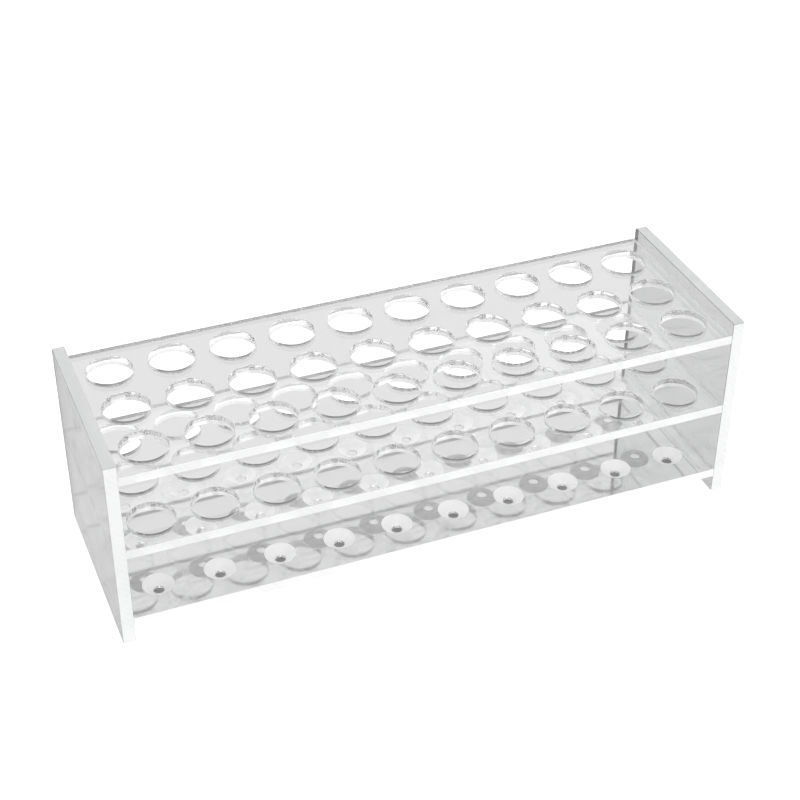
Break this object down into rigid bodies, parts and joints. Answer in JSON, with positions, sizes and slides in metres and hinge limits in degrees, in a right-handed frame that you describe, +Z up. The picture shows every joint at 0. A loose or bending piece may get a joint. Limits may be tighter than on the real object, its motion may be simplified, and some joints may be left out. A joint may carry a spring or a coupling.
{
  "type": "microcentrifuge tube rack",
  "caption": "Clear cemented-sheet tube rack: two drilled guide shelves and a bottom shelf with conical tip seats, held between two end plates.",
  "frame": {"origin": "under the middle of the rack, on the surface that the end plates stand on", "axes": "+X along the rack towards the right end plate, +Y from the front row to the back row, +Z up"},
  "size_m": [0.1576, 0.05, 0.0512],
  "materials": {
    "end_plate_acrylic": "polished",
    "shelf_acrylic": "polished",
    "seat_shelf_acrylic": "polished"
  },
  "bodies": {
    "root": {"left_end_plate": "end_plate_acrylic", "right_end_plate": "end_plate_acrylic", "top_shelf": "shelf_acrylic", "middle_shelf": "shelf_acrylic", "bottom_shelf": "seat_shelf_acrylic"}
  },
  "joints": []
}
